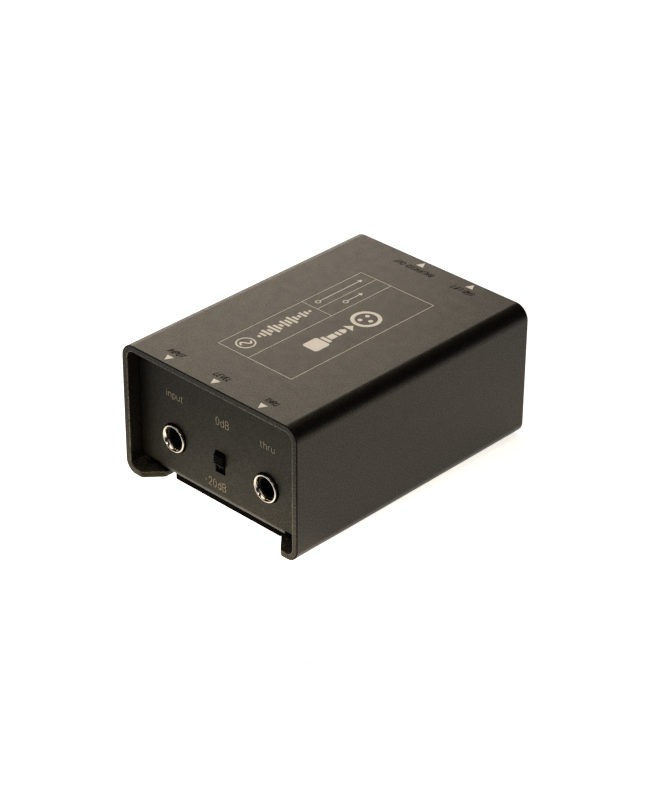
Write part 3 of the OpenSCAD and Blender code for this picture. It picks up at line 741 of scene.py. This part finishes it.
# The few letters used: how far each moves the line on, and its strokes, where a capital is 1 tall
X_H = 0.7
GLYPHS = {
    "i": (0.16, [[(0.08, 0), (0.08, X_H)], [(0.08, 0.9), (0.08, 0.99)]]),
    "n": (0.46, [[(0.04, 0), (0.04, X_H)],
                 [(0.04, 0.5)] + oval(0.23, 0.48, 0.19, 0.22, 150, 0) + [(0.42, 0)]]),
    "p": (0.48, [[(0.04, -0.26), (0.04, X_H)], oval(0.24, 0.35, 0.2, 0.35, 180, -180, 24)]),
    "u": (0.46, [[(0.04, X_H), (0.04, 0.22)] + oval(0.23, 0.22, 0.19, 0.22, 180, 360),
                 [(0.42, X_H), (0.42, 0)]]),
    "t": (0.34, [[(0.12, 0.92), (0.12, 0.16)] + oval(0.26, 0.16, 0.14, 0.16, 180, 280),
                 [(0.0, X_H), (0.3, X_H)]]),
    "h": (0.46, [[(0.04, 0), (0.04, 1)],
                 [(0.04, 0.5)] + oval(0.23, 0.48, 0.19, 0.22, 150, 0) + [(0.42, 0)]]),
    "r": (0.3, [[(0.04, 0), (0.04, X_H)], [(0.04, 0.48)] + oval(0.25, 0.46, 0.21, 0.24, 160, 80)]),
    "0": (0.56, [oval(0.28, 0.5, 0.22, 0.5, 0, 360, 30)]),
    "2": (0.52, [oval(0.26, 0.74, 0.22, 0.26, 170, -30) + [(0.04, 0), (0.5, 0)]]),
    "d": (0.52, [[(0.46, 0), (0.46, 1)], oval(0.26, 0.35, 0.2, 0.35, 0, 360, 24)]),
    "-": (0.4, [[(0.08, 0.42), (0.3, 0.42)]]),
    "l": (0.16, [[(0.08, 0), (0.08, 1)]]),
    "o": (0.48, [oval(0.24, 0.35, 0.2, 0.35, 0, 360, 24)]),
    "g": (0.48, [[(0.42, X_H), (0.42, -0.06)] + oval(0.23, -0.06, 0.19, 0.2, 0, -150),
                 oval(0.23, 0.35, 0.19, 0.35, 0, 360, 24)]),
    "f": (0.3, [oval(0.26, 0.82, 0.16, 0.18, 80, 180) + [(0.1, 0)], [(0.0, X_H), (0.26, X_H)]]),
    "A": (0.6, [[(0.02, 0), (0.3, 1), (0.58, 0)], [(0.13, 0.36), (0.47, 0.36)]]),
    "B": (0.54, [[(0.06, 0), (0.06, 1), (0.3, 1)] + oval(0.3, 0.77, 0.18, 0.23, 90, -90) + [(0.06, 0.54)],
                 [(0.3, 0.54)] + oval(0.3, 0.27, 0.21, 0.27, 90, -90) + [(0.06, 0)]]),
    "C": (0.58, [oval(0.32, 0.5, 0.27, 0.5, 50, 310, 20)]),
    "D": (0.58, [[(0.05, 0), (0.05, 1), (0.25, 1)] + oval(0.25, 0.5, 0.27, 0.5, 90, -90) + [(0.05, 0)]]),
    "E": (0.48, [[(0.44, 1), (0.05, 1), (0.05, 0), (0.44, 0)], [(0.05, 0.52), (0.38, 0.52)]]),
    "F": (0.46, [[(0.42, 1), (0.05, 1), (0.05, 0)], [(0.05, 0.52), (0.36, 0.52)]]),
    "G": (0.6, [oval(0.32, 0.5, 0.27, 0.5, 50, 345, 22) + [(0.58, 0.46), (0.36, 0.46)]]),
    "H": (0.56, [[(0.05, 0), (0.05, 1)], [(0.51, 0), (0.51, 1)], [(0.05, 0.52), (0.51, 0.52)]]),
    "I": (0.14, [[(0.07, 0), (0.07, 1)]]),
    "L": (0.44, [[(0.05, 1), (0.05, 0), (0.42, 0)]]),
    "N": (0.58, [[(0.05, 0), (0.05, 1), (0.53, 0), (0.53, 1)]]),
    "O": (0.62, [oval(0.31, 0.5, 0.27, 0.5, 0, 360, 30)]),
    "P": (0.52, [[(0.05, 0), (0.05, 1), (0.28, 1)] + oval(0.28, 0.75, 0.2, 0.25, 90, -90) + [(0.05, 0.5)]]),
    "R": (0.54, [[(0.05, 0), (0.05, 1), (0.28, 1)] + oval(0.28, 0.75, 0.2, 0.25, 90, -90) + [(0.05, 0.5)],
                 [(0.3, 0.5), (0.5, 0)]]),
    "T": (0.5, [[(0.25, 0), (0.25, 1)], [(0.0, 1), (0.5, 1)]]),
    "U": (0.56, [[(0.05, 1), (0.05, 0.24)] + oval(0.28, 0.24, 0.23, 0.24, 180, 360) + [(0.51, 1)]]),
    "V": (0.56, [[(0.02, 1), (0.28, 0), (0.54, 1)]]),
    " ": (0.3, []),
}


def lettering(text, x, y, height, width, stroke, place, slant=0.0):
    """Plain single-line letters centred on x with their feet on y, stretched to a width."""
    gap = 0.14
    natural = sum(GLYPHS[c][0] for c in text) + gap * (len(text) - 1)
    stretch = width / natural
    cursor = x - width / 2
    parts = []
    for c in text:
        advance, strokes = GLYPHS[c]
        for layer, points in enumerate(strokes):
            line = [(cursor + px * stretch + slant * py * height, y + py * height) for px, py in points]
            parts.append(flat_ribbon(line, stroke, -LAYER * layer, False, place))
        cursor += (advance + gap) * stretch
    return parts


def legends():
    """Plain function words and the two attenuator settings; a word has its place and width after it."""
    lid = []
    for text, x, y, width in (("INPUT", -21.4, -49.0, 6.6), ("LEVEL", 0.0, -49.0, 6.6),
                              ("THRU", 21.9, -49.0, 5.2)):
        lid += lettering(text, x, y, 2.1, width, 0.34, ON_TOP, slant=0.25)
    for text, x, y, width in (("BALANCED OUT", 5.6, -49.6, 17.0), ("GND LIFT", -16.9, -49.3, 9.4)):
        lid += lettering(text, x, y, 2.1, width, 0.3, ON_TOP_REAR, slant=0.25)
    join_print("lid_legends", lid, "dark_ink")
    panel = lettering("input", -20.7, 33.8, 2.5, 7.9, 0.2, ON_FRONT)
    panel += lettering("0dB", 1.5, 32.7, 2.9, 6.1, 0.22, ON_FRONT)
    panel += lettering("thru", 21.9, 33.0, 2.5, 6.5, 0.2, ON_FRONT)
    panel += lettering("-20dB", -2.2, 8.2, 2.9, 9.9, 0.2, ON_FRONT)
    join_print("panel_legends", panel, "panel_ink")
    rear = []
    for text, x, y, width in (("out", 5.5, 40.4, 5.0), ("gnd", -17.0, 25.5, 5.6), ("lift", -17.0, 8.6, 4.4)):
        rear += lettering(text, x, y, 2.5, width, 0.34, ON_REAR)
    join_print("rear_legends", rear, "panel_ink")


# ---------- the rest ----------

def make_parts():
    """The shell, the noses and the pieces with rounded edges, then a finish for every other CAD node."""
    make_shell()
    for node in ("input_jack_ferrule", "thru_jack_ferrule"):
        make_ferrule(node)
    # Each node and how far its edges are rounded
    for node, width in (("chassis", 0.15), ("bottom_pad", 0.1), ("case_screws", 0.08), ("board_screws", 0.1),
                        ("output_housing", 0.3), ("output_screws", 0.1), ("pad_switch_knob", 0.18),
                        ("lift_switch_knob", 0.18), ("transformer_core", 0.1), ("transformer_bobbin", 0.12),
                        ("transformer_winding", 0.6), ("lift_capacitor", 0.3), ("input_jack_housing", 0.15),
                        ("thru_jack_housing", 0.15), ("pad_switch_frame", 0.15), ("lift_switch_frame", 0.15)):
        refined(node, width)
    replaced = {node for piece in bpy.data.objects for node in piece.get("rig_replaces", [])}
    for name, node in frame["nodes"].items():
        if name not in replaced:
            node.data.materials.clear()
            node.data.materials.append(MATERIALS[SLOT_OF[name]])


def make_print():
    """All the ink on the lid and on both panels."""
    label_frame()
    signal_symbol()
    wave_symbol()
    cell_marks()
    pointers()
    legends()


# ---------- floor, light and camera ----------

def band(nodes, links, value, rise, fall):
    """Factor that is 1 between two places and fades to 0 outside them; each place is a (zero, one) pair."""
    up = nodes.new("ShaderNodeMapRange")
    up.interpolation_type = "SMOOTHSTEP"
    down = nodes.new("ShaderNodeMapRange")
    down.interpolation_type = "SMOOTHSTEP"
    for node, (zero, one) in ((up, rise), (down, fall)):
        node.inputs["From Min"].default_value = min(zero, one)
        node.inputs["From Max"].default_value = max(zero, one)
        node.inputs["To Min"].default_value = 0.0 if zero < one else 1.0
        node.inputs["To Max"].default_value = 1.0 if zero < one else 0.0
        links.new(value, node.inputs["Value"])
    both = nodes.new("ShaderNodeMath")
    both.operation = "MULTIPLY"
    links.new(up.outputs["Result"], both.inputs[0])
    links.new(down.outputs["Result"], both.inputs[1])
    return both.outputs["Value"]


def light_floor(material):
    """Makes the floor glow: a pool of light in front of the box and a lower glow beside it."""
    # Where each glow fades in and out, in metres
    pool_x = ((-0.07, 0.0), (0.07, 0.015))
    pool_y = ((-0.096, -0.06), (-0.03, -0.048))
    beside_y = ((-0.09, -0.05), (0.13, 0.09))
    pool_color = (1.0, 0.9, 0.76)
    front_flank, rear_flank = (0.42, 0.4, 0.37), (0.3, 0.285, 0.27)
    far_color = (0.18, 0.2, 0.23)
    nodes, links = material.node_tree.nodes, material.node_tree.links
    place = nodes.new("ShaderNodeTexCoord")
    parts = nodes.new("ShaderNodeSeparateXYZ")
    links.new(place.outputs["Object"], parts.inputs["Vector"])
    x, y = parts.outputs["X"], parts.outputs["Y"]
    pool = nodes.new("ShaderNodeMath")
    pool.operation = "MULTIPLY"
    links.new(band(nodes, links, y, *pool_y), pool.inputs[0])
    links.new(band(nodes, links, x, *pool_x), pool.inputs[1])
    beside = band(nodes, links, y, *beside_y)
    along = remap(nodes, links, y, -0.03, 0.08, 0.0, 1.0)
    flank = mix_color(nodes, links, along, front_flank, rear_flank)
    glow = mix_color(nodes, links, beside, far_color, flank)
    glow = mix_color(nodes, links, pool.outputs["Value"], glow, pool_color)
    shader = nodes["Principled BSDF"]
    links.new(glow, shader.inputs["Emission Color"])
    shader.inputs["Emission Strength"].default_value = 2.5


def make_floor():
    """Pale floor under the box, made to glow by light_floor: painted light, brightest in a pool in front of
    the box.
    """
    bm = bmesh.new()
    bmesh.ops.create_grid(bm, x_segments=8, y_segments=8, size=FLOOR_HALF * MM)
    mesh = bpy.data.meshes.new("floor")
    bm.to_mesh(mesh)
    bm.free()
    floor = bpy.data.objects.new("floor", mesh)
    # A hair under the pad, so that the two faces don't lie in one plane
    floor.location.z = -FLOOR_DROP * MM
    bpy.context.scene.collection.objects.link(floor)
    light_floor(MATERIALS["floor"])
    mesh.materials.append(MATERIALS["floor"])


def area_light(name, place, aim, size, power, color):
    """Soft rectangular light, with its place and size in metres, turned to a point."""
    data = bpy.data.lights.new(name, "AREA")
    data.shape = "RECTANGLE"
    data.size, data.size_y = size
    data.energy = power
    data.color = color
    light = bpy.data.objects.new(name, data)
    light.location = place
    light.rotation_mode = "QUATERNION"
    light.rotation_quaternion = (Vector(aim) - Vector(place)).to_track_quat("-Z", "Y")
    bpy.context.scene.collection.objects.link(light)


def make_lights():
    """A dim warm room, one large light overhead, one behind on the left, and a small one near the camera."""
    world = bpy.data.worlds.new("studio")
    world.use_nodes = True
    world.node_tree.nodes["Background"].inputs["Color"].default_value = (1, 0.98, 0.94, 1)
    world.node_tree.nodes["Background"].inputs["Strength"].default_value = 0.03
    bpy.context.scene.world = world
    warm = (1.0, 0.9, 0.78)
    area_light("overhead", (-0.1, -0.1, 1.5), (0, 0, 0), (1.3, 1.3), 12, warm)
    area_light("back_left", (-1.3, 0.6, 0.65), (0, 0, 0.04), (1.5, 1.0), 17, warm)
    area_light("key", (0.67, -0.64, 0.76), (0, 0, 0.03), (0.16, 0.16), 1.2, warm)


def make_camera():
    """Camera on its azimuth and elevation round the point it aims at, rolled a little."""
    azimuth, elevation, roll = (math.radians(a) for a in (CAMERA_AZIMUTH, CAMERA_ELEVATION, CAMERA_ROLL))
    back = Vector((math.sin(azimuth) * math.cos(elevation), -math.cos(azimuth) * math.cos(elevation),
                   math.sin(elevation)))
    right = Vector((0, 0, 1)).cross(back).normalized()
    up = back.cross(right)
    rolled_right = right * math.cos(roll) + up * math.sin(roll)
    rolled_up = up * math.cos(roll) - right * math.sin(roll)
    turn = Matrix((rolled_right, rolled_up, back)).transposed()
    data = bpy.data.cameras.new("camera")
    data.lens = CAMERA_LENS
    data.clip_start = 0.05
    camera = bpy.data.objects.new("camera", data)
    camera.matrix_world = Matrix.Translation((CAMERA_AIM + back * CAMERA_DISTANCE) * MM) @ turn.to_4x4()
    bpy.context.scene.collection.objects.link(camera)
    bpy.context.scene.camera = camera


make_camera()
make_lights()
make_floor()
make_parts()
make_print()
bpy.context.scene.view_settings.view_transform = "Standard"
